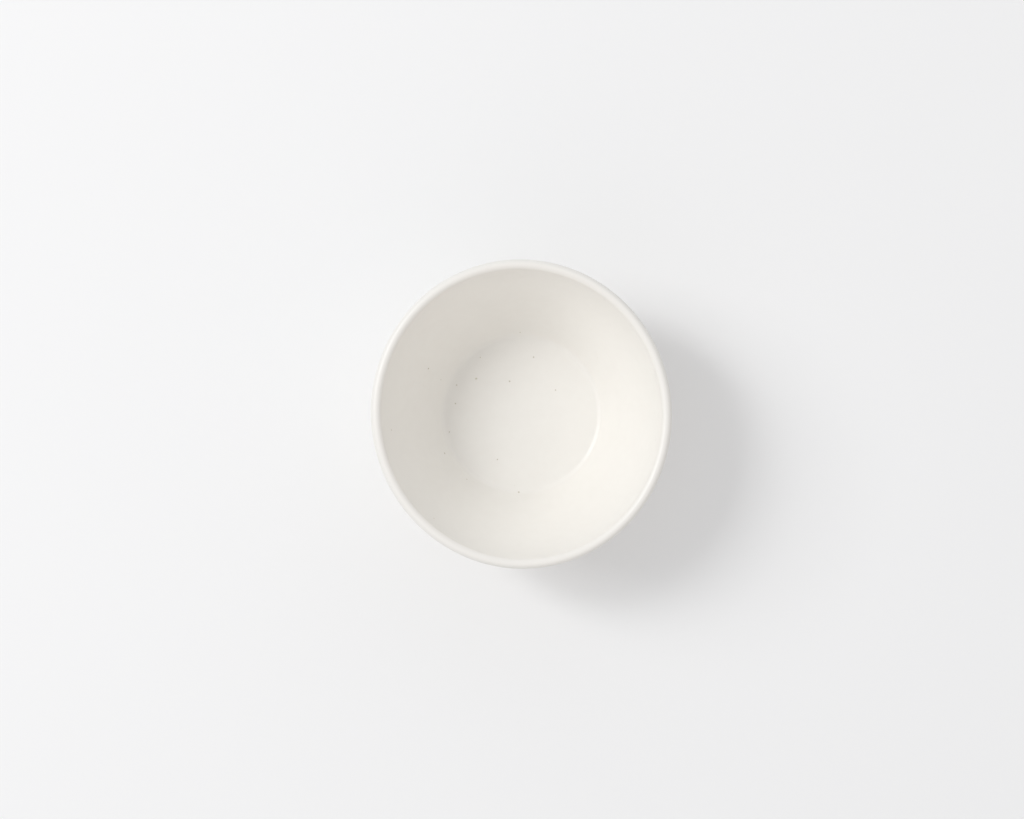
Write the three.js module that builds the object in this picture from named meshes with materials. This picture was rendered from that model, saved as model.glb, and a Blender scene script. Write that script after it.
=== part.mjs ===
// Breakfast bowl: a stoneware body with a wide flat floor, steep bowed walls and a full round lip,
// under a satin white glaze, standing on a bare foot ring. The rim is a little out of round, as thrown ware is.
// Millimetres, +Z up. The origin is on the table, under the middle of the bowl.

import * as THREE from 'three';

// Outside sizes, measured over the glaze
const BOWL_HEIGHT = 68;
const RIM_DIAMETER = 140;
const LIP_THICKNESS = 4.8;
const OUTER_WALL_RADIUS = 112;
const HEEL_RADIUS = 7;

// Inside sizes, measured over the glaze
const FLOOR_DIAMETER = 76;
const FLOOR_THICKNESS = 5.5;
const FLOOR_FILLET = 4;
const INNER_WALL_RADIUS = 120;

// Width of the wall where it stands on the floor, measured level
const WALL_ROOT = 6.5;

// Foot ring, set in from the line of the outer wall
const FOOT_HEIGHT = 5.5;
const FOOT_INSET = 7;
const FOOT_WIDTH = 5.5;
const FOOT_FILLET = 1.5;
const FOOT_EDGE_RADIUS = 0.7;
const RECESS_DEPTH = 4.5;
const RECESS_FILLET = 1.5;

// Glaze: its coat, the hairline that parts it from the clay, and the band wiped bare at the bottom of the foot
const GLAZE_THICKNESS = 0.5;
const GLAZE_HAIRLINE = 0.1;
const BARE_FOOT_BAND = 1.2;

// Out-of-round rim: how far the long axis stands out and the short one draws in, and where the long axis points
const RIM_OVAL = 1.1;
const RIM_OVAL_DEGREES = 100;

// Fineness of the facets: how many run round the bowl, and how far one may cut off the curve of the section
const SIDES = 56;
const FACET_SAG = 0.075;

const QUARTER = Math.PI / 2;
const HALF = Math.PI;

// How deep under the finished surface the clay lies
const CLAY_DEPTH = GLAZE_THICKNESS + GLAZE_HAIRLINE;

const FLOOR_LEVEL = RECESS_DEPTH + FLOOR_THICKNESS;

// The section lies in a half plane: x is the distance from the axis and y is the height.
const point = (x, y) => new THREE.Vector2(x, y);

// An arc of the section. A full arc bulges out of the clay and a hollow one is scooped into it.
const arc = (middle, radius, from, to, hollow) => ({ middle, radius, from, to, hollow });

// The points of an arc on a surface that lies the given depth under the finished one.
function arcPoints({ middle, radius, from, to, hollow }, depth) {
  const turnPerFacet = 2 * Math.acos(1 - FACET_SAG / radius);
  const steps = Math.ceil(Math.abs(to - from) / turnPerFacet);
  const deep = hollow ? radius + depth : radius - depth;
  return new THREE.EllipseCurve(middle.x, middle.y, deep, deep, from, to, hollow).getPoints(steps);
}

// Where two circles cross, on the left of the way from the first middle to the second.
function crossing(first, firstRadius, second, secondRadius) {
  const way = second.clone().sub(first);
  const apart = way.length();
  const along = (firstRadius ** 2 - secondRadius ** 2 + apart ** 2) / (2 * apart);
  const aside = Math.sqrt(firstRadius ** 2 - along ** 2);
  way.normalize();
  return point(first.x + way.x * along - way.y * aside, first.y + way.y * along + way.x * aside);
}

// The circle that rounds the corner between a level surface and the wall standing on it.
function cornerMiddle(level, radius, wallMiddle, wallRadius) {
  const rise = level + radius - wallMiddle.y;
  return point(wallMiddle.x + Math.sqrt((wallRadius - radius) ** 2 - rise ** 2), level + radius);
}

// The direction from one middle to another, in which the two circles touch.
const heading = (from, to) => Math.atan2(to.y - from.y, to.x - from.x);

// The full round lip, and the two walls that run into it from the floor's edge and from the wall's root
const lipRadius = LIP_THICKNESS / 2;
const lipMiddle = point(RIM_DIAMETER / 2 - lipRadius, BOWL_HEIGHT - lipRadius);
const floorEdge = point(FLOOR_DIAMETER / 2, FLOOR_LEVEL);
const wallRoot = point(FLOOR_DIAMETER / 2 + WALL_ROOT, FLOOR_LEVEL);
const innerWall = crossing(floorEdge, INNER_WALL_RADIUS, lipMiddle, INNER_WALL_RADIUS + lipRadius);
const outerWall = crossing(wallRoot, OUTER_WALL_RADIUS, lipMiddle, OUTER_WALL_RADIUS - lipRadius);
const floorFillet = cornerMiddle(FLOOR_LEVEL, FLOOR_FILLET, innerWall, INNER_WALL_RADIUS);
const heel = cornerMiddle(FOOT_HEIGHT, HEEL_RADIUS, outerWall, OUTER_WALL_RADIUS);

// The foot ring's two faces
const wallFoot = cornerMiddle(FOOT_HEIGHT, 0, outerWall, OUTER_WALL_RADIUS);
const footOuter = wallFoot.x - FOOT_INSET;
const footInner = footOuter - FOOT_WIDTH;

// The glazed surface of the bowl, from the foot ring up the outside, over the lip and down to the floor's centre
const bowlArcs = [
  arc(point(footOuter + FOOT_FILLET, FOOT_HEIGHT - FOOT_FILLET), FOOT_FILLET, HALF, QUARTER, true),
  arc(heel, HEEL_RADIUS, -QUARTER, heading(outerWall, heel), false),
  arc(outerWall, OUTER_WALL_RADIUS, heading(outerWall, heel), heading(outerWall, lipMiddle), false),
  arc(lipMiddle, lipRadius, heading(outerWall, lipMiddle), heading(innerWall, lipMiddle) + HALF, false),
  arc(innerWall, INNER_WALL_RADIUS, heading(innerWall, lipMiddle), heading(innerWall, floorFillet), true),
  arc(floorFillet, FLOOR_FILLET, heading(innerWall, floorFillet), -QUARTER, true),
];

// The glazed surface of the recess, from the axis out to the foot ring's inner face
const recessArcs = [
  arc(point(footInner - RECESS_FILLET, RECESS_DEPTH - RECESS_FILLET), RECESS_FILLET, QUARTER, 0, true),
];

const bowlFace = (depth) => [
  ...bowlArcs.flatMap((each) => arcPoints(each, depth)),
  point(0, FLOOR_LEVEL - depth),
];

const recessFace = (depth) => [
  point(0, RECESS_DEPTH + depth),
  ...recessArcs.flatMap((each) => arcPoints(each, depth)),
];

// The flat resting face of the foot ring, between its two rounded edges
function footFace() {
  const inner = point(footInner + CLAY_DEPTH + FOOT_EDGE_RADIUS, FOOT_EDGE_RADIUS);
  const outer = point(footOuter - CLAY_DEPTH - FOOT_EDGE_RADIUS, FOOT_EDGE_RADIUS);
  return [
    ...arcPoints(arc(inner, FOOT_EDGE_RADIUS, -HALF, -QUARTER, false), 0),
    ...arcPoints(arc(outer, FOOT_EDGE_RADIUS, -QUARTER, 0, false), 0),
  ];
}

// The rounded edge in which a coat of glaze ends on the foot ring
function glazeBead(middleRadius) {
  const radius = GLAZE_THICKNESS / 2;
  return arcPoints(arc(point(middleRadius, BARE_FOOT_BAND + radius), radius, HALF, 2 * HALF, false), 0);
}

// Pushes a revolved shape out of round, more and more from the floor up to the rim.
function drawOval(geometry) {
  const spots = geometry.attributes.position;
  const longAxis = THREE.MathUtils.degToRad(RIM_OVAL_DEGREES);
  const spot = new THREE.Vector3();
  for (let index = 0; index < spots.count; index += 1) {
    spot.fromBufferAttribute(spots, index);
    const rise = Math.max(0, (spot.z - FLOOR_LEVEL) / (BOWL_HEIGHT - FLOOR_LEVEL));
    const angle = Math.atan2(spot.y, spot.x);
    const stretch = RIM_OVAL * rise ** 2 * Math.cos(2 * (angle - longAxis));
    spots.setXY(index, spot.x + stretch * Math.cos(angle), spot.y + stretch * Math.sin(angle));
  }
}

// Turns a section about the bowl's axis, leaving out points that repeat the one before.
function turned(name, section, material) {
  const kept = section.filter((each, index) => index === 0 || each.distanceTo(section[index - 1]) > 1e-6);
  const geometry = new THREE.LatheGeometry(kept, SIDES);
  geometry.rotateX(QUARTER);
  drawOval(geometry);
  geometry.computeVertexNormals();
  const mesh = new THREE.Mesh(geometry, material);
  mesh.name = name;
  return mesh;
}

const clay = () => new THREE.MeshStandardMaterial({ color: '#cdbfa8', roughness: 0.9, metalness: 0 });
const glaze = () => new THREE.MeshStandardMaterial({ color: '#f0ede4', roughness: 0.38, metalness: 0 });

function stonewareBody() {
  const section = [...recessFace(CLAY_DEPTH), ...footFace(), ...bowlFace(CLAY_DEPTH)];
  return turned('stoneware_body', section, clay());
}

function bowlGlaze() {
  const bead = glazeBead(footOuter - GLAZE_THICKNESS / 2);
  return turned('bowl_glaze', [...bowlFace(GLAZE_THICKNESS).reverse(), ...bead, ...bowlFace(0)], glaze());
}

function undersideGlaze() {
  const bead = glazeBead(footInner + GLAZE_THICKNESS / 2);
  return turned('underside_glaze', [...recessFace(0), ...bead, ...recessFace(GLAZE_THICKNESS).reverse()], glaze());
}

const bowl = new THREE.Group();
bowl.add(stonewareBody(), bowlGlaze(), undersideGlaze());

export default bowl;
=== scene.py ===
"""Breakfast bowl: stoneware under a satin white glaze with iron specks, on a pale table in window light."""

import math
from typing import NamedTuple

import bpy
from bpy.props import FloatProperty, FloatVectorProperty, IntProperty, PointerProperty
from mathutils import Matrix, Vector


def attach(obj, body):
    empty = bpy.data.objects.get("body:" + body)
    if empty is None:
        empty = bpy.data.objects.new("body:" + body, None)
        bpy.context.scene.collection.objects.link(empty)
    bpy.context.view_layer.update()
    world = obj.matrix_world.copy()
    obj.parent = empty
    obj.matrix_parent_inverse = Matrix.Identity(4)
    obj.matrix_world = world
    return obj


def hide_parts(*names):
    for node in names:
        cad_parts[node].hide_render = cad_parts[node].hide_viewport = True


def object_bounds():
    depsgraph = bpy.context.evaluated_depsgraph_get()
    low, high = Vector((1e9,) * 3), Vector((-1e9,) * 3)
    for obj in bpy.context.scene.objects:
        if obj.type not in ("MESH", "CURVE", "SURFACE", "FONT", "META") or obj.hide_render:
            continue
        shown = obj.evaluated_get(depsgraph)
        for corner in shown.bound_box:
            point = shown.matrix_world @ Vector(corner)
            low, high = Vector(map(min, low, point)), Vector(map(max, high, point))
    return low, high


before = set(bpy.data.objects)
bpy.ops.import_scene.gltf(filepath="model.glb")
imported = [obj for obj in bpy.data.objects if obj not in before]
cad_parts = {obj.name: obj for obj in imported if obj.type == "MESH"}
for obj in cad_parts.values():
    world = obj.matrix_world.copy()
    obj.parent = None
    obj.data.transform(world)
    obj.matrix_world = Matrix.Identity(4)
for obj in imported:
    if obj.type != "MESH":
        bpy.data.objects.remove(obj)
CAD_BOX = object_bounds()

bl_info = {
    "name": "Breakfast Bowl",
    "version": (1, 0, 0),
    "blender": (4, 5, 0),
    "location": "View3D > Sidebar > Bowl",
    "description": "Turns a glazed stoneware bowl around its packed solids and sets it on a table",
    "category": "Object",
}

MM = 0.001
QUARTER_TURN = math.pi / 2
HALF_TURN = math.pi

# The solids' size in millimetres. The mean of the two widths is the rim's diameter before it is drawn oval.
SOLIDS = (CAD_BOX[1] - CAD_BOX[0]) / MM
MEAN_WIDTH = (SOLIDS.x + SOLIDS.y) / 2

# The picture that the camera repeats, in its own pixels
PHOTO_WIDTH = 1024
PHOTO_HEIGHT = 819
BOWL_IN_PHOTO = (521.5, 414.0)
RIM_IN_PHOTO = 306.0

# How finely the section is stepped on the shown surfaces, and how much coarser it is where nothing shows
ROW_TURN = math.radians(6)
ROW_PITCH = 1.6 * MM
HIDDEN_COARSENESS = 4
HIDDEN_MAP_SHARE = 0.04

# How near to each other two points are one, and the part of a step that is taken for rounding error
SAME_POINT = 0.001 * MM
STEP_SLACK = 1e-6

# The range that most values of a cloudy noise lie in, and the one that nearly all of them do
MOST_OF_NOISE = (0.3, 0.7)
NEARLY_ALL_NOISE = (0.2, 0.8)

# How many clouds to a metre the wandering hand and the wiped glaze line have
HAND_CLOUDS = 26.0
GLAZE_LINE_CLOUDS = 90.0

# Where the glaze drifts towards the tone of thin glaze, and how far: in clouds, in a mottle and on the lip
GLAZE_CLOUDS = 24.0
GLAZE_CLOUD_RANGE = (0.35, 0.75)
GLAZE_CLOUD_DRIFT = 0.3
MOTTLE_CLOUDS = 240.0
MOTTLE_DRIFT = 0.22
LIP_DRIFT = 0.9

# Bands of thin glaze, in thicknesses of the lip down from its top, and how far outward the edge faces. The
# outer edge band is darker partly for the thinnest glaze and partly as painted shade where the lip turns
# down and away.
THIN_BAND_FULL = 0.3
THIN_BAND_END = 0.75
EDGE_SHADE_BAND_END = 1.3
EDGE_SHADE_FACING = (0.1, 0.8)

# Faint grains in the glaze and dark ones in the clay: how many to a metre, and where their cores fade
FAINT_GRAINS = 300.0
FAINT_GRAIN_CORE = (0.05, 0.11)
CLAY_GRAINS = 1400.0
CLAY_GRAIN_CORE = (0.15, 0.45)

# Gloss and relief of the glaze: clouds to a metre, swing of the roughness and depths of the relief
GLOSS_CLOUDS = 160.0
GLOSS_SWING = (-0.04, 0.06)
ROLL_CLOUDS = 90.0
ROLL_DEPTH = 0.03 * MM
PEEL_CLOUDS = 700.0
PEEL_DEPTH = 0.006 * MM

# Bare clay: clouds to a metre and how dark they go, and the roughness and depth of its grit
CLAY_CLOUDS = 120.0
CLAY_DRIFT = 0.35
GRIT_CLOUDS = 2200.0
GRIT_ROUGHNESS = (0.78, 0.95)
GRIT_DEPTH = 0.04 * MM

# Iron specks: facets of a grain, its thickness and length in widths, and how its edge frays and bleeds
SPECK_SIDES = 12
SPECK_RINGS = 8
SPECK_FLATNESS = 0.12
SPECK_STRETCH = (0.75, 1.25)
FRAY_CLOUDS = 3000.0
FRAY = 0.2
BLEED = (0.1, 1.0)

# Which draw of the seed the specks take for their width and for their stretch
WIDTH_DRAW = 1
STRETCH_DRAW = 3

# The table's faint clouds: how many to a metre, and how much of its colour they leave
TABLE_CLOUDS = 3.0
TABLE_CLOUD_SHARE = 0.99

# Iron specks seen on the inside: direction in degrees, distance from the axis and width in millimetres
SEEN_SPECKS = (
    (142, 27.9, 1.45),
    (171, 32.5, 1.02),
    (268, 38.0, 1.28),
    (110, 16.9, 1.14),
    (242, 25.0, 0.92),
    (156, 34.5, 0.92),
    (78, 28.2, 0.98),
    (154, 49.5, 1.26),
    (230, 62.9, 1.02),
    (194, 36.1, 0.82),
    (207, 41.7, 1.02),
    (126, 34.0, 0.78),
    (230, 41.2, 0.80),
    (35, 20.2, 0.90),
    (91, 39.6, 0.82),
    (349, 63.0, 0.64),
    (157, 42.3, 0.68),
    (187, 60.9, 1.12),
)


def length(name, description, default):
    """A size in metres, given in millimetres."""
    return FloatProperty(
        name=name, description=description, default=default * MM, subtype="DISTANCE", unit="LENGTH"
    )


def colour(name, description, default):
    """A surface colour, in linear light."""
    return FloatVectorProperty(
        name=name, description=description, default=default, subtype="COLOR", size=3, min=0, max=1
    )


def share(name, description, default):
    """A plain number from 0 to 1."""
    return FloatProperty(
        name=name, description=description, default=default, subtype="FACTOR", min=0, max=1
    )


def amount(name, description, default):
    """A plain number from 0 up."""
    return FloatProperty(name=name, description=description, default=default, min=0)


def angle(name, description, default):
    """An angle, given in degrees."""
    return FloatProperty(
        name=name, description=description, default=math.radians(default), subtype="ANGLE", unit="ROTATION"
    )


def power(name, description, default):
    """The power of a lamp, in watts."""
    return FloatProperty(name=name, description=description, default=default, min=0, unit="POWER")


class BowlSizes(bpy.types.PropertyGroup):
    """The sizes of the bowl, measured over the glaze."""

    bowl_height: length("Height", "From the table to the top of the lip", SOLIDS.z)
    rim_diameter: length("Rim Diameter", "Mean diameter over the lip", MEAN_WIDTH)
    lip_thickness: length("Lip Thickness", "Width of the full round lip", 4.8)
    outer_wall_radius: length("Outer Wall Radius", "Radius of the outer wall's bow", 112)
    heel_radius: length("Heel Radius", "Rounding from the outer wall to the underside", 7)
    floor_diameter: length("Floor Diameter", "Where the line of the inner wall meets the floor", 76)
    floor_thickness: length("Floor Thickness", "From the foot recess up to the floor", 5.5)
    floor_fillet: length("Floor Fillet", "Rounding from the floor to the inner wall", 4)
    inner_wall_radius: length("Inner Wall Radius", "Radius of the inner wall's bow", 120)
    wall_root: length("Wall Root", "Width of the wall level with the floor", 6.5)
    foot_height: length("Foot Height", "From the table up to the bowl's underside", 5.5)
    foot_inset: length("Foot Inset", "How far the foot ring is set in from the outer wall", 7)
    foot_width: length("Foot Width", "Width of the foot ring", 5.5)
    foot_fillet: length("Foot Fillet", "Rounding between the foot ring and the underside", 1.5)
    foot_edge_radius: length("Foot Edge Radius", "Rounding of the resting face's edges", 0.7)
    recess_depth: length("Recess Depth", "From the table up to the roof of the foot recess", 4.5)
    recess_fillet: length("Recess Fillet", "Rounding between the foot ring and the recess", 1.5)
    glaze_thickness: length("Glaze Thickness", "Thickness of the coat", 0.5)
    glaze_hairline: length("Glaze Hairline", "Gap between the coat and the clay", 0.1)
    bare_foot_band: length("Bare Foot Band", "Height of the bare clay at the bottom of the foot ring", 1.2)
    rim_oval: length("Rim Oval", "How far the long axis stands out and the short one draws in", 1.1)
    rim_oval_axis: angle("Rim Oval Axis", "Direction of the long axis", 100)
    hand_play: length("Hand Play", "How far the hand-made surface wanders from a true turning", 0.16)
    glaze_line_play: length("Glaze Line Play", "How far the wiped edge of the glaze wanders", 0.3)
    sides: IntProperty(name="Sides", description="Facets round the bowl", default=256, min=24)
    seed: IntProperty(name="Seed", description="Draw of everything that is left to chance", default=7)


class BowlFinish(bpy.types.PropertyGroup):
    """The colours and the gloss of the glaze, the clay and the specks."""

    glaze_colour: colour("Glaze", "Warm white of the glaze", (0.908, 0.886, 0.842))
    glaze_thin_colour: colour("Thin Glaze", "Glaze that lies thinner over the clay", (0.862, 0.834, 0.788))
    # Partly the thinnest glaze on the lip's outer edge, partly painted shade where that edge turns down and
    # away from the light.
    glaze_edge_and_shade_colour: colour("Edge Glaze", "Thinnest glaze, on the lip's outer edge", (0.804, 0.784, 0.745))
    glaze_roughness: share("Glaze Roughness", "Roughness of the satin surface", 0.36)
    faint_grain_share: share("Faint Grains", "Grains in the glaze that show as faint tan spots", 0.045)
    faint_grain_tone: share("Faint Grain Tone", "How far a faint grain takes the colour of the specks", 0.14)
    speck_colour: colour("Specks", "Iron grains that have bled into the glaze", (0.548, 0.501, 0.393))
    clay_colour: colour("Clay", "Bare fired stoneware", (0.560, 0.470, 0.360))
    clay_dark_colour: colour("Clay Grain", "Coarser grains in the stoneware", (0.330, 0.250, 0.175))
    clay_grain_share: share("Clay Grains", "Grains of the stoneware that are darker", 0.2)
    clay_grain_tone: share("Clay Grain Tone", "How far a darker grain takes its own colour", 0.7)
    outer_speck_density: amount("Outer Specks", "Specks on each square metre of the outside", 900)


class BowlStage(bpy.types.PropertyGroup):
    """The table, the light and the camera."""

    table_colour: colour("Table", "Pale table top", (0.894, 0.891, 0.888))
    table_roughness: share("Table Roughness", "Roughness of the table top", 0.7)
    table_width: length("Table Width", "Width of the table top", 16000)
    room_colour: colour("Room Colour", "Tint of the light from all round", (0.963, 0.977, 1.0))
    room_light: amount("Room Light", "Light from all round, at the height where it is strongest", 0.68)
    room_height: share("Room Height", "Where it is strongest, from 0 at the horizon to 1 overhead", 0.4)
    horizon_share: share("Horizon Share", "Light from the table's height, as a share of the strongest", 0.45)
    ceiling_share: share("Ceiling Share", "Light from overhead, as a share of the strongest", 0.845)
    backdrop_light: share("Backdrop Light", "Brightness of the plain backdrop beyond the table", 0.8)
    wall_light: amount("Wall Light", "Added light of the bright walls in front and behind", 0.434)
    wall_direction: angle("Wall Direction", "Where the bright wall in front stands, seen from above", 255)
    bounce_colour: colour("Bounce Colour", "Tint of the light that a warm wall returns", (1.0, 0.5, 0.05))
    bounce_light: amount("Bounce Light", "Light that a warm wall away from the window returns", 0.095)
    bounce_direction: angle("Bounce Direction", "Where the warm wall stands, seen from above", 300)
    window_colour: colour("Window Colour", "Tint of the daylight", (0.984, 0.994, 1.0))
    window_distance: length("Window Distance", "From the bowl to the window", 3200)
    window_power: power("Window Power", "Light of the window on the left", 28.35)
    window_direction: angle("Window Direction", "Where the window stands, seen from above", 159.5)
    window_rise: angle("Window Rise", "How high the window stands", 45)
    window_width: length("Window Width", "Width of the window", 1300)
    window_height: length("Window Height", "Height of the window", 1720)
    sky_power: power("Sky Power", "Added light of the open sky in the upper part of the window", 13.98)
    sky_direction: angle("Sky Direction", "Where the open sky stands, seen from above", 152)
    sky_rise: angle("Sky Rise", "How high the open sky stands", 51.5)
    sky_width: length("Sky Width", "Width of the open sky in the window", 500)
    sky_height: length("Sky Height", "Height of the open sky in the window", 960)
    camera_distance: length("Camera Distance", "From the rim up to the camera", 900)
    sensor_width: length("Sensor Width", "Width of the camera's sensor", 36)


class Arc(NamedTuple):
    """A round stretch of the section. A full one bulges out of the clay, a hollow one is scooped into it."""

    middle: Vector
    radius: float
    start: float
    end: float
    hollow: bool

    def points(self, depth, coarseness=1):
        """Its points on a surface that lies the given depth under the finished one."""
        radius = self.radius + depth if self.hollow else self.radius - depth
        turn = self.end - self.start
        pitch = min(ROW_TURN, ROW_PITCH / radius) * coarseness
        steps = max(2, math.ceil(abs(turn) / pitch))
        headings = (self.start + turn * step / steps for step in range(steps + 1))
        return [self.middle + radius * Vector((math.cos(way), math.sin(way))) for way in headings]


def crossing(first, first_radius, second, second_radius):
    """Where two circles cross, on the left of the way from the first middle to the second."""
    way = second - first
    apart = way.length
    along = (first_radius**2 - second_radius**2 + apart**2) / (2 * apart)
    aside = math.sqrt(first_radius**2 - along**2)
    way.normalize()
    return first + way * along + Vector((-way.y, way.x)) * aside


def corner_middle(level, radius, wall, wall_radius):
    """The middle of the circle that rounds the corner between a level surface and the wall on it."""
    rise = level + radius - wall.y
    return Vector((wall.x + math.sqrt((wall_radius - radius) ** 2 - rise**2), level + radius))


def heading(start, end):
    """The direction from one middle to another, in which the two circles touch."""
    way = end - start
    return math.atan2(way.y, way.x)


def spread(points, pitch):
    """The same outline with points set along its straight stretches, no further apart than the pitch."""
    spaced = [points[0]]
    for start, end in zip(points, points[1:]):
        steps = math.ceil((end - start).length / pitch - STEP_SLACK)
        spaced += [start.lerp(end, step / steps) for step in range(1, steps + 1)]
    return spaced


class Outline:
    """The bowl's section in a half plane, whose points give a distance from the axis and a height."""

    def __init__(self, sizes):
        self.sizes = sizes
        self.floor_level = sizes.recess_depth + sizes.floor_thickness
        self.rim_level = sizes.bowl_height - sizes.hand_play
        self.clay_depth = sizes.glaze_thickness + sizes.glaze_hairline
        lip = sizes.lip_thickness / 2
        lip_middle = Vector((sizes.rim_diameter / 2 - sizes.hand_play - lip, self.rim_level - lip))
        floor_edge = Vector((sizes.floor_diameter / 2, self.floor_level))
        wall_root = floor_edge + Vector((sizes.wall_root, 0))
        inner_radius, outer_radius = sizes.inner_wall_radius, sizes.outer_wall_radius
        inner = crossing(floor_edge, inner_radius, lip_middle, inner_radius + lip)
        outer = crossing(wall_root, outer_radius, lip_middle, outer_radius - lip)
        fillet = corner_middle(self.floor_level, sizes.floor_fillet, inner, inner_radius)
        heel = corner_middle(sizes.foot_height, sizes.heel_radius, outer, outer_radius)
        self.foot_outer = corner_middle(sizes.foot_height, 0, outer, outer_radius).x - sizes.foot_inset
        self.foot_inner = self.foot_outer - sizes.foot_width
        foot_corner = Vector((self.foot_outer + sizes.foot_fillet, sizes.foot_height - sizes.foot_fillet))
        recess_fillet = sizes.recess_fillet
        recess_corner = Vector((self.foot_inner - recess_fillet, sizes.recess_depth - recess_fillet))
        self.bowl_arcs = (
            Arc(foot_corner, sizes.foot_fillet, HALF_TURN, QUARTER_TURN, True),
            Arc(heel, sizes.heel_radius, -QUARTER_TURN, heading(outer, heel), False),
            Arc(outer, outer_radius, heading(outer, heel), heading(outer, lip_middle), False),
            Arc(lip_middle, lip, heading(outer, lip_middle), heading(inner, lip_middle) + HALF_TURN, False),
            Arc(inner, inner_radius, heading(inner, lip_middle), heading(inner, fillet), True),
            Arc(fillet, sizes.floor_fillet, heading(inner, fillet), -QUARTER_TURN, True),
        )
        self.recess_arcs = (Arc(recess_corner, recess_fillet, QUARTER_TURN, 0, True),)

    def bowl_face(self, depth, coarseness=1):
        """From the foot ring up the outside, over the lip and down to the middle of the floor."""
        points = [point for arc in self.bowl_arcs for point in arc.points(depth, coarseness)]
        return [*points, Vector((0, self.floor_level - depth))]

    def recess_face(self, depth, coarseness=1):
        """From the axis along the roof of the recess to the foot ring's inner face."""
        points = [point for arc in self.recess_arcs for point in arc.points(depth, coarseness)]
        return [Vector((0, self.sizes.recess_depth + depth)), *points]

    def foot_face(self):
        """The flat resting face of the foot ring, between its two rounded edges."""
        edge = self.sizes.foot_edge_radius
        inner = Vector((self.foot_inner + self.clay_depth + edge, edge))
        outer = Vector((self.foot_outer - self.clay_depth - edge, edge))
        inner_edge = Arc(inner, edge, -HALF_TURN, -QUARTER_TURN, False)
        outer_edge = Arc(outer, edge, -QUARTER_TURN, 0, False)
        return [*inner_edge.points(0), *outer_edge.points(0)]

    def glaze_bead(self, middle_radius):
        """The rounded edge in which a coat of glaze ends on the foot ring."""
        radius = self.sizes.glaze_thickness / 2
        middle = Vector((middle_radius, self.sizes.bare_foot_band + radius))
        return Arc(middle, radius, HALF_TURN, 2 * HALF_TURN, False).points(0, HIDDEN_COARSENESS)


class Wiring:
    """Lays nodes in a tree and wires them, so that a rule reads as a formula."""

    def __init__(self, tree):
        self.tree = tree

    def add(self, kind, inputs=(), **settings):
        """A new node. Its inputs come in order or by name, each as a value or as another node's output."""
        node = self.tree.nodes.new(kind)
        for name, value in settings.items():
            setattr(node, name, value)
        open_sockets = [socket for socket in node.inputs if socket.enabled]
        if isinstance(inputs, dict):
            by_name = {socket.name: socket for socket in open_sockets}
            pairs = [(by_name[name], value) for name, value in inputs.items()]
        else:
            pairs = list(zip(open_sockets, inputs))
        for socket, value in pairs:
            self.join(value, socket)
        return node

    def join(self, value, socket):
        """Wires an output to a socket, or sets the socket to a plain value."""
        if isinstance(value, bpy.types.NodeSocket):
            self.tree.links.new(value, socket)
        else:
            socket.default_value = value

    def result(self, kind, inputs=(), output=0, **settings):
        """One output of a new node, by its place among those that are open, or by name."""
        node = self.add(kind, inputs, **settings)
        open_outputs = [socket for socket in node.outputs if socket.enabled]
        if isinstance(output, str):
            return next(socket for socket in open_outputs if socket.name == output)
        return open_outputs[output]

    def math(self, operation, *values):
        """A sum, product or other step of arithmetic."""
        return self.result("ShaderNodeMath", values, operation=operation)

    def product(self, first, *others):
        """Several numbers multiplied, in order."""
        for other in others:
            first = self.math("MULTIPLY", first, other)
        return first

    def vector(self, operation, *values):
        """A step of arithmetic on vectors that gives a vector."""
        return self.result("ShaderNodeVectorMath", values, operation=operation)

    def measure(self, operation, *vectors):
        """A step of arithmetic on vectors that gives a number."""
        return self.result("ShaderNodeVectorMath", vectors, "Value", operation=operation)

    def scaled(self, vector, factor):
        """A vector made longer or shorter."""
        inputs = {"Vector": vector, "Scale": factor}
        return self.result("ShaderNodeVectorMath", inputs, operation="SCALE")

    def xyz(self, x, y, z):
        """A vector from its three parts."""
        return self.result("ShaderNodeCombineXYZ", (x, y, z))

    def parts(self, vector):
        """The three parts of a vector."""
        return self.add("ShaderNodeSeparateXYZ", (vector,)).outputs

    def between(self, value, low, high, low_result=0.0, high_result=1.0, kind="LINEAR"):
        """A value carried from one range to another, and held at its ends."""
        sockets = (value, low, high, low_result, high_result)
        return self.result("ShaderNodeMapRange", sockets, interpolation_type=kind, clamp=True)

    def noise(self, place, scale, detail, output="Fac"):
        """Cloudy noise with the given number of clouds to a metre."""
        inputs = {"Vector": place, "Scale": scale, "Detail": detail}
        return self.result("ShaderNodeTexNoise", inputs, output)

    def clouds(self, place, scale, low, high, detail=3.0, span=MOST_OF_NOISE):
        """Cloudy noise that runs from one value to another where it runs over the given span."""
        return self.between(self.noise(place, scale, detail), *span, low, high)

    def stored(self, geometry, name, value, kind="FLOAT", domain="POINT"):
        """The geometry with a named value stored on it."""
        inputs = {"Geometry": geometry, "Name": name, "Value": value}
        return self.result("GeometryNodeStoreNamedAttribute", inputs, data_type=kind, domain=domain)

    def named(self, name, kind="FLOAT"):
        """A named value that the geometry carries."""
        return self.result("GeometryNodeInputNamedAttribute", (name,), data_type=kind)

    def moved(self, geometry, offset):
        """The geometry with every point moved by its own offset."""
        return self.result("GeometryNodeSetPosition", {"Geometry": geometry, "Offset": offset})

    def mix(self, factor, first, second):
        """A colour between two others."""
        return self.result("ShaderNodeMix", {"Factor": factor, "A": first, "B": second}, data_type="RGBA")


def node_tree(name, sockets):
    """A Geometry Nodes tree with a geometry coming in and going out, and inputs given by name and kind."""
    tree = bpy.data.node_groups.new(name, "GeometryNodeTree")
    tree.interface.new_socket("Geometry", in_out="OUTPUT", socket_type="NodeSocketGeometry")
    tree.interface.new_socket("Geometry", in_out="INPUT", socket_type="NodeSocketGeometry")
    for socket_name, kind in sockets.items():
        tree.interface.new_socket(socket_name, in_out="INPUT", socket_type=f"NodeSocket{kind}")
    return tree, Wiring(tree), tree.nodes.new("NodeGroupInput").outputs


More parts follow.
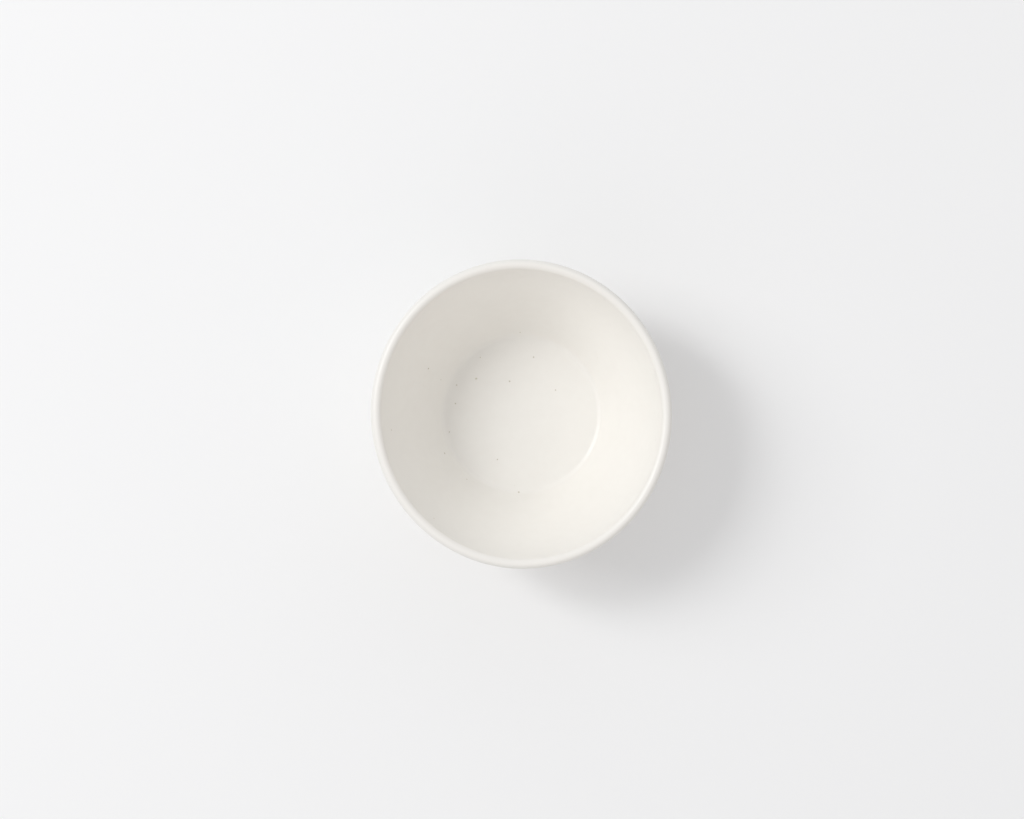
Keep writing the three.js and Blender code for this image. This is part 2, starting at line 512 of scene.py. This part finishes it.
def finish_tree(wiring, geometry, material):
    """Ends a tree with plain faces, smooth shading and a material."""
    smooth = wiring.result("GeometryNodeSetShadeSmooth", {"Geometry": geometry})
    plain = wiring.result("GeometryNodeRealizeInstances", (smooth,))
    painted = wiring.result("GeometryNodeSetMaterial", {"Geometry": plain, "Material": material})
    wiring.tree.links.new(painted, wiring.tree.nodes.new("NodeGroupOutput").inputs[0])


def wheel_tree():
    """The potter's wheel: turns a section about the axis, draws its rim oval and lets the hand wander."""
    tree, wiring, given = node_tree(
        "potters_wheel",
        {
            "Sides": "Int",
            "Rim Oval": "Float",
            "Rim Oval Axis": "Float",
            "Foot Height": "Float",
            "Floor Level": "Float",
            "Rim Level": "Float",
            "Hand Play": "Float",
            "Glaze Line": "Float",
            "Glaze Line Play": "Float",
            "Seed": "Int",
            "Finish": "Material",
        },
    )
    turned = turn_section(wiring, given)
    oval = draw_oval(wiring, given, turned)
    wandering = let_hand_wander(wiring, given, oval)
    lined = let_glaze_line_wander(wiring, given, wandering)
    closed = wiring.result("GeometryNodeMergeByDistance", {"Geometry": lined, "Distance": SAME_POINT})
    finish_tree(wiring, closed, given["Finish"])
    return tree


def turn_section(wiring, given):
    """Bends a grid round the axis, with a column for each side and a row for each point of the section."""
    section = given["Geometry"]
    count = wiring.result("GeometryNodeAttributeDomainSize", (section,), component="MESH")
    last_row = wiring.math("SUBTRACT", count, 1)
    columns = wiring.math("ADD", given["Sides"], 1)
    grid = wiring.result("GeometryNodeMeshGrid", (given["Sides"], last_row, columns, count))
    here = wiring.parts(wiring.result("GeometryNodeInputPosition"))
    round_share = wiring.math("ADD", wiring.math("DIVIDE", here["X"], given["Sides"]), 0.5)
    row = wiring.math("ADD", here["Y"], wiring.math("DIVIDE", last_row, 2))
    row = wiring.result("FunctionNodeFloatToInt", (row,), rounding_mode="ROUND")
    position = wiring.result("GeometryNodeInputPosition")
    spot = section_value(wiring, section, row, position, "FLOAT_VECTOR")
    map_row = section_value(wiring, section, row, wiring.named("map_row"), "FLOAT")
    shown = section_value(wiring, section, row, wiring.named("shown"), "FLOAT")
    mapped = wiring.stored(grid, "OFBake", wiring.xyz(round_share, map_row, 0), "FLOAT2", "CORNER")
    marked = wiring.stored(mapped, "shown", shown)
    way = wiring.math("MULTIPLY", round_share, 2 * HALF_TURN)
    far = wiring.parts(spot)
    bent = wiring.xyz(
        wiring.math("MULTIPLY", far["X"], wiring.math("COSINE", way)),
        wiring.math("MULTIPLY", far["X"], wiring.math("SINE", way)),
        far["Z"],
    )
    return wiring.result("GeometryNodeSetPosition", {"Geometry": marked, "Position": bent})


def section_value(wiring, section, row, value, kind):
    """What the section holds at the point of a row."""
    inputs = {"Geometry": section, "Value": value, "Index": row}
    return wiring.result("GeometryNodeSampleIndex", inputs, data_type=kind, domain="POINT")


def draw_oval(wiring, given, geometry):
    """Pushes the walls out of round, more and more from the floor up to the rim."""
    here = wiring.parts(wiring.result("GeometryNodeInputPosition"))
    rise = wiring.between(here["Z"], given["Floor Level"], given["Rim Level"])
    way = wiring.math("ARCTAN2", here["Y"], here["X"])
    lobes = wiring.math("MULTIPLY", wiring.math("SUBTRACT", way, given["Rim Oval Axis"]), 2)
    growth = wiring.math("POWER", rise, 2)
    stretch = wiring.product(given["Rim Oval"], wiring.math("COSINE", lobes), growth)
    outward = wiring.vector("NORMALIZE", wiring.xyz(here["X"], here["Y"], 0))
    return wiring.moved(geometry, wiring.scaled(outward, stretch))


def let_hand_wander(wiring, given, geometry):
    """Moves the wall by slow noise that dies away at the foot, so that no surface is a perfect turning."""
    position = wiring.result("GeometryNodeInputPosition")
    drawn = wiring.vector("ADD", position, wiring.xyz(given["Seed"], 0, 0))
    noise = wiring.noise(drawn, HAND_CLOUDS, detail=1.0, output="Color")
    noise_middle = (0.5, 0.5, 0.5)
    swing = wiring.scaled(wiring.vector("SUBTRACT", noise, noise_middle), 2)
    height = wiring.parts(position)["Z"]
    free = wiring.between(height, given["Foot Height"], given["Floor Level"], kind="SMOOTHSTEP")
    reach = wiring.math("MULTIPLY", free, given["Hand Play"])
    return wiring.moved(geometry, wiring.scaled(swing, reach))


def let_glaze_line_wander(wiring, given, geometry):
    """Moves the lower edge of the glaze up and down along the foot ring, as a wiped edge runs."""
    here = wiring.parts(wiring.result("GeometryNodeInputPosition"))
    drawn = wiring.xyz(here["X"], here["Y"], given["Seed"])
    swing = wiring.clouds(drawn, GLAZE_LINE_CLOUDS, -1.0, 1.0, detail=1.0, span=NEARLY_ALL_NOISE)
    twice = wiring.math("MULTIPLY", given["Glaze Line"], 2)
    near = wiring.between(here["Z"], given["Glaze Line"], twice, 1.0, 0.0)
    climb = wiring.product(swing, near, given["Glaze Line Play"])
    return wiring.moved(geometry, wiring.xyz(0, 0, climb))


def speck_tree():
    """Iron specks: one under each point that looks down on the glaze, and more strewn over the outside."""
    tree, wiring, given = node_tree(
        "iron_specks",
        {
            "Glaze": "Object",
            "Outer Density": "Float",
            "Least Width": "Float",
            "Most Width": "Float",
            "Underside": "Float",
            "Seed": "Int",
            "Finish": "Material",
        },
    )
    coat = wiring.result("GeometryNodeObjectInfo", (given["Glaze"],), "Geometry")
    joined = wiring.add("GeometryNodeJoinGeometry")
    tree.links.new(seen_points(wiring, given, coat), joined.inputs[0])
    tree.links.new(strewn_points(wiring, given, coat), joined.inputs[0])
    grain = speck_grain(wiring)
    facing = wiring.named("facing", "FLOAT_VECTOR")
    turn = wiring.result("FunctionNodeAlignRotationToVector", {"Vector": facing}, axis="Z")
    width = wiring.named("width")
    stretch = random_number(wiring, given, *SPECK_STRETCH, STRETCH_DRAW)
    span = wiring.math("MULTIPLY", width, stretch)
    scale = wiring.xyz(span, width, wiring.math("MULTIPLY", width, SPECK_FLATNESS))
    inputs = {"Points": joined.outputs[0], "Instance": grain, "Rotation": turn, "Scale": scale}
    specks = wiring.result("GeometryNodeInstanceOnPoints", inputs)
    finish_tree(wiring, specks, given["Finish"])
    return tree


def speck_grain(wiring):
    """A round grain, one wide, that carries how far each point lies from its middle towards its edge."""
    radius = 0.5
    ball = wiring.result("GeometryNodeMeshUVSphere", (SPECK_SIDES, SPECK_RINGS, radius))
    sideways = (1 / radius, 1 / radius, 0)
    flat = wiring.vector("MULTIPLY", wiring.result("GeometryNodeInputPosition"), sideways)
    return wiring.stored(ball, "edge", wiring.measure("LENGTH", flat))


def random_number(wiring, given, low, high, draw):
    """A number for each point, drawn with the tree's seed."""
    inputs = {"Min": low, "Max": high, "Seed": wiring.math("ADD", given["Seed"], draw)}
    return wiring.result("FunctionNodeRandomValue", inputs, data_type="FLOAT")


def seen_points(wiring, given, coat):
    """The points that stand over the bowl, dropped onto the glaze below them."""
    points = wiring.result("GeometryNodeMeshToPoints", (given["Geometry"],))
    rays = {"Target Geometry": coat, "Ray Direction": (0, 0, -1), "Ray Length": 1}
    hit = wiring.add("GeometryNodeRaycast", rays).outputs
    faced = wiring.stored(points, "facing", hit["Hit Normal"], "FLOAT_VECTOR")
    dropped = {"Geometry": faced, "Position": hit["Hit Position"]}
    return wiring.result("GeometryNodeSetPosition", dropped)


def strewn_points(wiring, given, coat):
    """Points strewn by chance over the shown outside of the coat, above the underside."""
    normal = wiring.result("GeometryNodeInputNormal")
    position = wiring.result("GeometryNodeInputPosition")
    axle = wiring.vector("MULTIPLY", position, (1, 1, 0))
    outward = wiring.math("GREATER_THAN", wiring.measure("DOT_PRODUCT", normal, axle), 0)
    high = wiring.math("GREATER_THAN", wiring.parts(position)["Z"], given["Underside"])
    chosen = wiring.math("GREATER_THAN", wiring.product(outward, wiring.named("shown"), high), 0.5)
    inputs = {"Mesh": coat, "Selection": chosen, "Density": given["Outer Density"], "Seed": given["Seed"]}
    strewn = wiring.add("GeometryNodeDistributePointsOnFaces", inputs).outputs
    faced = wiring.stored(strewn["Points"], "facing", strewn["Normal"], "FLOAT_VECTOR")
    width = random_number(wiring, given, given["Least Width"], given["Most Width"], WIDTH_DRAW)
    return wiring.stored(faced, "width", width)


def tree_named(name, build):
    """The tree of that name, built the first time it is asked for."""
    return bpy.data.node_groups.get(name) or build()


def made_plain(piece, tree, values):
    """Runs a tree on a piece with its named inputs set, and leaves the result as a plain mesh."""
    modifier = piece.modifiers.new(tree.name, "NODES")
    modifier.node_group = tree
    for socket in tree.interface.items_tree:
        if socket.in_out == "INPUT" and socket.name in values:
            modifier[socket.identifier] = values[socket.name]
    depsgraph = bpy.context.evaluated_depsgraph_get()
    result = piece.evaluated_get(depsgraph)
    mesh = bpy.data.meshes.new_from_object(result, preserve_all_data_layers=True, depsgraph=depsgraph)
    piece.modifiers.clear()
    mesh.name = piece.name
    piece.data = mesh
    if not mesh.polygons:
        raise RuntimeError(f"{piece.name} came out with no faces")
    return piece


def new_piece(name, content):
    """An object at the origin, unturned, that holds a mesh, a lamp or a camera."""
    piece = bpy.data.objects.new(name, content)
    bpy.context.scene.collection.objects.link(piece)
    return piece


def carry(mesh, name, values):
    """Gives each point of a mesh a named number."""
    mesh.attributes.new(name, "FLOAT", "POINT").data.foreach_set("value", values)


def section_mesh(name, points, shown):
    """The section as a string of points that carry their row in the picture map and whether they show."""
    mesh = bpy.data.meshes.new(name)
    edges = [(index, index + 1) for index in range(len(points) - 1)]
    mesh.from_pydata([(point.x, 0, point.y) for point in points], edges, [])
    rows = [0.0]
    for index in range(1, len(points)):
        worth = 1 if shown[index] and shown[index - 1] else HIDDEN_MAP_SHARE
        rows.append(rows[-1] + worth * (points[index] - points[index - 1]).length)
    carry(mesh, "map_row", [row / rows[-1] for row in rows])
    carry(mesh, "shown", [float(mark) for mark in shown])
    return mesh


def turned_piece(name, outline, stretches, material, glaze_line_play=0.0):
    """Turns a section on the wheel. Its stretches come in order, each with a mark for whether it shows."""
    points, shown = [], []
    for stretch, mark in stretches:
        fresh = spread(stretch, ROW_PITCH * (1 if mark else HIDDEN_COARSENESS))
        points += fresh
        shown += [mark] * len(fresh)
    steps = [0.0, *((end - start).length for start, end in zip(points, points[1:]))]
    kept = [index for index, step in enumerate(steps) if index == 0 or step > SAME_POINT]
    mesh = section_mesh(name, [points[index] for index in kept], [shown[index] for index in kept])
    sizes = outline.sizes
    values = {
        "Sides": sizes.sides,
        "Rim Oval": sizes.rim_oval,
        "Rim Oval Axis": sizes.rim_oval_axis,
        "Foot Height": sizes.foot_height,
        "Floor Level": outline.floor_level,
        "Rim Level": outline.rim_level,
        "Hand Play": sizes.hand_play,
        "Glaze Line": sizes.bare_foot_band + sizes.glaze_thickness,
        "Glaze Line Play": glaze_line_play,
        "Seed": sizes.seed,
        "Finish": material,
    }
    return made_plain(new_piece(name, mesh), tree_named("potters_wheel", wheel_tree), values)


def new_material(name):
    """A material, with the wiring of its tree, its surface shader and the place on the object."""
    material = bpy.data.materials.new(name)
    material.use_nodes = True
    wiring = Wiring(material.node_tree)
    shader = material.node_tree.nodes["Principled BSDF"]
    place = wiring.result("ShaderNodeTexCoord", output="Object")
    return material, wiring, shader, place


def bump(wiring, shader, heights):
    """Raises the surface by several layers, each given as its height and its depth in metres."""
    normal = None
    for height, depth in heights:
        inputs = {"Distance": depth, "Height": height}
        if normal is not None:
            inputs["Normal"] = normal
        normal = wiring.result("ShaderNodeBump", inputs)
    wiring.join(normal, shader.inputs["Normal"])


def opaque(tint):
    """A colour with nothing showing through it."""
    return (*tint, 1)


def picked_grains(wiring, place, scale, core, share_picked, tone):
    """A share of the grains in a pattern, each at the given tone in its core and fading out around it."""
    grains = wiring.add("ShaderNodeTexVoronoi", {"Vector": place, "Scale": scale}).outputs
    near = wiring.between(grains["Distance"], *core, 1.0, 0.0)
    picked = wiring.math("GREATER_THAN", wiring.parts(grains["Color"])["X"], 1 - share_picked)
    return wiring.product(near, picked, tone)


def glaze_material(scene):
    """Satin white glaze that drifts in tone, with faint tan grains in it and a fine orange peel."""
    finish = scene.bowl_finish
    material, wiring, shader, place = new_material("satin_white_glaze")
    tone = glaze_tone(wiring, place, scene.bowl_sizes, finish)
    faint = picked_grains(
        wiring, place, FAINT_GRAINS, FAINT_GRAIN_CORE, finish.faint_grain_share, finish.faint_grain_tone
    )
    wiring.join(wiring.mix(faint, tone, opaque(finish.speck_colour)), shader.inputs["Base Color"])
    smoothest, roughest = (finish.glaze_roughness + swing for swing in GLOSS_SWING)
    wiring.join(wiring.clouds(place, GLOSS_CLOUDS, smoothest, roughest), shader.inputs["Roughness"])
    roll = wiring.noise(place, ROLL_CLOUDS, detail=1.0)
    peel = wiring.noise(place, PEEL_CLOUDS, detail=1.0)
    bump(wiring, shader, ((roll, ROLL_DEPTH), (peel, PEEL_DEPTH)))
    return material


def glaze_tone(wiring, place, sizes, finish):
    """The glaze's colour: drifting in clouds, thin over the lip, and darker on the lip's outer edge, partly
    for the thinnest glaze and partly as painted shade where the edge turns down.
    """
    bands = (EDGE_SHADE_BAND_END, THIN_BAND_END, THIN_BAND_FULL)
    edge_shade_low, thin_low, thin_high = (sizes.bowl_height - band * sizes.lip_thickness for band in bands)
    height = wiring.parts(place)["Z"]
    cloud = wiring.clouds(place, GLAZE_CLOUDS, 0.0, GLAZE_CLOUD_DRIFT, span=GLAZE_CLOUD_RANGE)
    mottle = wiring.clouds(place, MOTTLE_CLOUDS, 0.0, MOTTLE_DRIFT)
    lip = wiring.between(height, thin_low, thin_high, 0.0, LIP_DRIFT)
    thin = wiring.math("MAXIMUM", wiring.math("ADD", cloud, mottle), lip)
    tone = wiring.mix(thin, opaque(finish.glaze_colour), opaque(finish.glaze_thin_colour))
    # Painted shade: the outward-turned edge of the lip is darkened more than thin glaze alone would make it.
    axle = wiring.vector("NORMALIZE", wiring.vector("MULTIPLY", place, (1, 1, 0)))
    normal = wiring.result("ShaderNodeNewGeometry", output="Normal")
    outward = wiring.between(wiring.measure("DOT_PRODUCT", normal, axle), *EDGE_SHADE_FACING)
    edge = wiring.math("MULTIPLY", outward, wiring.between(height, edge_shade_low, thin_low))
    return wiring.mix(edge, tone, opaque(finish.glaze_edge_and_shade_colour))


def clay_material(scene):
    """Bare stoneware: a buff ground with darker grains, dry and slightly rough."""
    finish = scene.bowl_finish
    material, wiring, shader, place = new_material("bare_stoneware")
    cloud = wiring.clouds(place, CLAY_CLOUDS, 0.0, CLAY_DRIFT, detail=4.0)
    grains = picked_grains(
        wiring, place, CLAY_GRAINS, CLAY_GRAIN_CORE, finish.clay_grain_share, finish.clay_grain_tone
    )
    dark = wiring.math("MAXIMUM", cloud, grains)
    tone = wiring.mix(dark, opaque(finish.clay_colour), opaque(finish.clay_dark_colour))
    wiring.join(tone, shader.inputs["Base Color"])
    grit = wiring.noise(place, GRIT_CLOUDS, detail=3.0)
    wiring.join(wiring.between(grit, *NEARLY_ALL_NOISE, *GRIT_ROUGHNESS), shader.inputs["Roughness"])
    bump(wiring, shader, ((grit, GRIT_DEPTH),))
    return material


def speck_material(scene):
    """Iron grains: tan brown in the middle, bleeding unevenly into the glaze towards the edge."""
    finish = scene.bowl_finish
    material, wiring, shader, place = new_material("iron_speck")
    edge = wiring.result("ShaderNodeAttribute", output="Fac", attribute_name="edge")
    fray = wiring.clouds(place, FRAY_CLOUDS, -FRAY, FRAY, detail=2.0)
    bleed = wiring.between(wiring.math("ADD", edge, fray), *BLEED)
    tone = wiring.mix(bleed, opaque(finish.speck_colour), opaque(finish.glaze_colour))
    wiring.join(tone, shader.inputs["Base Color"])
    shader.inputs["Roughness"].default_value = finish.glaze_roughness
    return material


def table_material(stage):
    """Pale table top with a hardly visible cloudiness."""
    material, wiring, shader, place = new_material("pale_table")
    cloud = wiring.clouds(place, TABLE_CLOUDS, 0.0, 1.0)
    dull = tuple(TABLE_CLOUD_SHARE * part for part in stage.table_colour)
    tone = wiring.mix(cloud, opaque(stage.table_colour), opaque(dull))
    wiring.join(tone, shader.inputs["Base Color"])
    shader.inputs["Roughness"].default_value = stage.table_roughness
    return material


def material_named(name, build, scene):
    """The material of that name, built from the scene's settings the first time it is asked for."""
    return bpy.data.materials.get(name) or build(scene)


def standing_for(piece, node):
    """Lets a piece move with the bowl and stand for a solid, whose packed part it hides."""
    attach(piece, "root")
    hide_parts(node)


class BOWL_OT_turn_stoneware(bpy.types.Operator):
    """Turn the clay body, which shows at the foot ring"""

    bl_idname = "bowl.turn_stoneware"
    bl_label = "Turn Stoneware Body"

    def execute(self, context):
        outline = Outline(context.scene.bowl_sizes)
        depth = outline.clay_depth
        stretches = (
            (outline.recess_face(depth, HIDDEN_COARSENESS), False),
            (outline.foot_face(), True),
            (outline.bowl_face(depth, HIDDEN_COARSENESS), False),
        )
        clay = material_named("bare_stoneware", clay_material, context.scene)
        piece = turned_piece("stoneware", outline, stretches, clay)
        standing_for(piece, "stoneware_body")
        return {"FINISHED"}


class BOWL_OT_coat_bowl(bpy.types.Operator):
    """Coat the inside, the lip and the outside with glaze, down to the wiped foot"""

    bl_idname = "bowl.coat_bowl"
    bl_label = "Coat Bowl"

    def execute(self, context):
        sizes = context.scene.bowl_sizes
        outline = Outline(sizes)
        thickness = sizes.glaze_thickness
        stretches = (
            (outline.bowl_face(thickness, HIDDEN_COARSENESS)[::-1], False),
            (outline.glaze_bead(outline.foot_outer - thickness / 2), True),
            (outline.bowl_face(0), True),
        )
        glaze = material_named("satin_white_glaze", glaze_material, context.scene)
        piece = turned_piece("glaze_coat", outline, stretches, glaze, sizes.glaze_line_play)
        standing_for(piece, "bowl_glaze")
        return {"FINISHED"}


class BOWL_OT_coat_underside(bpy.types.Operator):
    """Coat the recess inside the foot ring with glaze"""

    bl_idname = "bowl.coat_underside"
    bl_label = "Coat Underside"

    def execute(self, context):
        sizes = context.scene.bowl_sizes
        outline = Outline(sizes)
        thickness = sizes.glaze_thickness
        stretches = (
            (outline.recess_face(0), True),
            (outline.glaze_bead(outline.foot_inner + thickness / 2), True),
            (outline.recess_face(thickness, HIDDEN_COARSENESS)[::-1], False),
        )
        glaze = material_named("satin_white_glaze", glaze_material, context.scene)
        piece = turned_piece("glaze_underside", outline, stretches, glaze, sizes.glaze_line_play)
        standing_for(piece, "underside_glaze")
        return {"FINISHED"}


class BOWL_OT_sow_specks(bpy.types.Operator):
    """Set the iron specks into the glaze"""

    bl_idname = "bowl.sow_specks"
    bl_label = "Sow Iron Specks"

    def execute(self, context):
        sizes, finish = context.scene.bowl_sizes, context.scene.bowl_finish
        coat = bpy.data.objects.get("glaze_coat")
        if coat is None:
            raise RuntimeError("coat the bowl before sowing specks into its glaze")
        above = sizes.bowl_height * 2
        mesh = bpy.data.meshes.new("iron_specks")
        ways = [(math.radians(way), far * MM) for way, far, _ in SEEN_SPECKS]
        mesh.from_pydata([(far * math.cos(way), far * math.sin(way), above) for way, far in ways], [], [])
        widths = [width * MM for _, _, width in SEEN_SPECKS]
        carry(mesh, "width", widths)
        values = {
            "Glaze": coat,
            "Outer Density": finish.outer_speck_density,
            "Least Width": min(widths),
            "Most Width": max(widths),
            "Underside": sizes.foot_height + sizes.heel_radius / 2,
            "Seed": sizes.seed,
            "Finish": material_named("iron_speck", speck_material, context.scene),
        }
        piece = made_plain(new_piece("iron_specks", mesh), tree_named("iron_specks", speck_tree), values)
        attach(piece, "root")
        return {"FINISHED"}


class BOWL_OT_set_stage(bpy.types.Operator):
    """Set the table, the light and the camera"""

    bl_idname = "bowl.set_stage"
    bl_label = "Set Stage"

    def execute(self, context):
        stage, sizes = context.scene.bowl_stage, context.scene.bowl_sizes
        lay_table(stage)
        light_room(context.scene, stage)
        hang_window(stage)
        hang_camera(context.scene, stage, sizes)
        context.scene.view_settings.view_transform = "Standard"
        return {"FINISHED"}


def lay_table(stage):
    """A wide flat table top under the bowl."""
    half = stage.table_width / 2
    corners = [(-half, -half, 0), (half, -half, 0), (half, half, 0), (-half, half, 0)]
    mesh = bpy.data.meshes.new("table")
    mesh.from_pydata(corners, [], [(0, 1, 2, 3)])
    mesh.materials.append(table_material(stage))
    new_piece("table", mesh)


def light_room(scene, stage):
    """Soft light from all round, weaker low down, stronger in front and behind and warmer on one side."""
    scene.world = bpy.data.worlds.new("bright_room")
    scene.world.use_nodes = True
    scene.world.node_tree.nodes.clear()
    wiring = Wiring(scene.world.node_tree)
    way = wiring.result("ShaderNodeTexCoord", output="Generated")
    height = wiring.parts(way)["Z"]
    rising = wiring.between(height, 0.0, stage.room_height, stage.horizon_share, 1.0)
    overhead = stage.room_light * stage.ceiling_share
    even = wiring.between(height, stage.room_height, 1.0, stage.room_light, overhead)
    facing = facing_share(wiring, way, stage.wall_direction)
    walls = wiring.product(facing, facing, stage.wall_light)
    room = wiring.math("MULTIPLY", rising, wiring.math("ADD", even, walls))
    toward = wiring.math("MAXIMUM", facing_share(wiring, way, stage.bounce_direction), 0)
    bounce = wiring.product(rising, toward, stage.bounce_light)
    glows = (glow(wiring, stage.room_colour, room), glow(wiring, stage.bounce_colour, bounce))
    light = wiring.result("ShaderNodeAddShader", glows)
    ray = wiring.add("ShaderNodeLightPath").outputs
    mirrored = wiring.math("MAXIMUM", ray["Is Glossy Ray"], ray["Is Transmission Ray"])
    seen = wiring.math("MAXIMUM", ray["Is Camera Ray"], mirrored)
    backdrop = glow(wiring, (1, 1, 1), stage.backdrop_light)
    whole = wiring.result("ShaderNodeMixShader", (seen, light, backdrop))
    wiring.add("ShaderNodeOutputWorld", {"Surface": whole})


def glow(wiring, tint, strength):
    """Light of one tint from far away."""
    return wiring.result("ShaderNodeBackground", (opaque(tint), strength))


def facing_share(wiring, way, direction):
    """How far a way looks towards a level direction: 1 along it, 0 across and -1 away from it."""
    level = (math.cos(direction), math.sin(direction), 0)
    return wiring.measure("DOT_PRODUCT", way, level)


def hang_window(stage):
    """Daylight from the left: a tall window, and the open sky that brightens its upper part."""
    window = hang_lamp("window", stage, stage.window_direction, stage.window_rise)
    window.energy, window.size, window.size_y = stage.window_power, stage.window_width, stage.window_height
    sky = hang_lamp("open_sky", stage, stage.sky_direction, stage.sky_rise)
    sky.energy, sky.size, sky.size_y = stage.sky_power, stage.sky_width, stage.sky_height


def hang_lamp(name, stage, direction, rise):
    """A rectangular lamp at the window's distance, turned to face the bowl."""
    lamp = bpy.data.lights.new(name, "AREA")
    lamp.shape = "RECTANGLE"
    lamp.color = stage.window_colour
    holder = new_piece(name, lamp)
    level = math.cos(rise)
    toward = Vector((math.cos(direction) * level, math.sin(direction) * level, math.sin(rise)))
    holder.location = toward * stage.window_distance
    holder.rotation_mode = "QUATERNION"
    holder.rotation_quaternion = toward.to_track_quat("Z", "Y")
    return lamp


def hang_camera(scene, stage, sizes):
    """A camera looking straight down, with the bowl where it stands in the photograph."""
    metres_per_pixel = sizes.rim_diameter / RIM_IN_PHOTO
    widest = sizes.bowl_height - sizes.lip_thickness / 2
    lens = bpy.data.cameras.new("camera")
    lens.sensor_fit = "HORIZONTAL"
    lens.sensor_width = stage.sensor_width / MM
    lens.lens = lens.sensor_width * stage.camera_distance / (PHOTO_WIDTH * metres_per_pixel)
    lens.shift_x = (PHOTO_WIDTH / 2 - BOWL_IN_PHOTO[0]) / PHOTO_WIDTH
    lens.shift_y = (BOWL_IN_PHOTO[1] - PHOTO_HEIGHT / 2) / PHOTO_WIDTH
    camera = new_piece("camera", lens)
    camera.location = (0, 0, widest + stage.camera_distance)
    scene.camera = camera


class BOWL_PT_sidebar(bpy.types.Panel):
    """The bowl's pieces, sizes, finish and stage"""

    bl_idname = "BOWL_PT_sidebar"
    bl_label = "Breakfast Bowl"
    bl_space_type = "VIEW_3D"
    bl_region_type = "UI"
    bl_category = "Bowl"

    def draw(self, context):
        column = self.layout.column()
        for operator in OPERATORS:
            column.operator(operator.bl_idname)
        for group in (context.scene.bowl_sizes, context.scene.bowl_finish, context.scene.bowl_stage):
            box = self.layout.box().column()
            for name in group.__annotations__:
                box.prop(group, name)


GROUPS = {"bowl_sizes": BowlSizes, "bowl_finish": BowlFinish, "bowl_stage": BowlStage}
OPERATORS = (
    BOWL_OT_turn_stoneware,
    BOWL_OT_coat_bowl,
    BOWL_OT_coat_underside,
    BOWL_OT_sow_specks,
    BOWL_OT_set_stage,
)
CLASSES = (*GROUPS.values(), *OPERATORS, BOWL_PT_sidebar)


def register():
    """Adds the bowl's settings, operators and panel."""
    for each in CLASSES:
        bpy.utils.register_class(each)
    for name, group in GROUPS.items():
        setattr(bpy.types.Scene, name, PointerProperty(type=group))


def unregister():
    """Takes the bowl's settings, operators and panel away again."""
    for name in GROUPS:
        delattr(bpy.types.Scene, name)
    for each in reversed(CLASSES):
        bpy.utils.unregister_class(each)


def main():
    """Makes the bowl and its stage."""
    register()
    bpy.ops.bowl.turn_stoneware()
    bpy.ops.bowl.coat_bowl()
    bpy.ops.bowl.coat_underside()
    bpy.ops.bowl.sow_specks()
    bpy.ops.bowl.set_stage()


if __name__ == "__main__":
    main()
